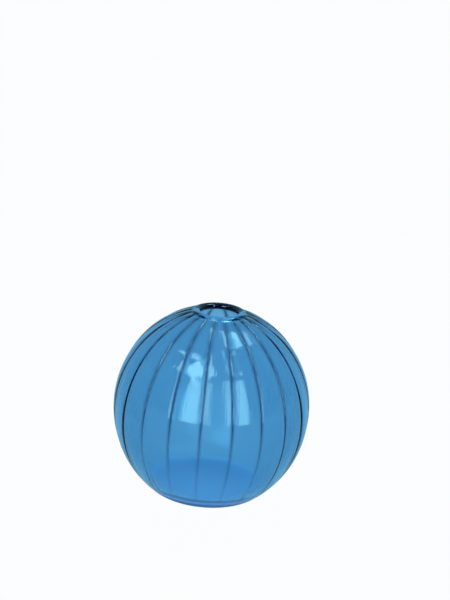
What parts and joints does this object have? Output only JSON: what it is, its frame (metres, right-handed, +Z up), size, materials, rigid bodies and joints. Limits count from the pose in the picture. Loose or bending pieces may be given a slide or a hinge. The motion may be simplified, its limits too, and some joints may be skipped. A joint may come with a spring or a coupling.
{
  "type": "bud vase",
  "caption": "Mouth-blown ball vase of blue glass with vertical flutes from foot to lip and a small round mouth for a single flower stem",
  "frame": {"origin": "centre of the foot, on the surface that the vase stands on", "axes": "+Z up along the vase's axis of symmetry; a flute's crest faces +X and another faces -Y"},
  "size_m": [0.1, 0.1, 0.0962],
  "materials": {
    "blue_glass": "clear polished glass, blue all through"
  },
  "bodies": {
    "root": {"vase_body": "blue_glass"}
  },
  "joints": []
}
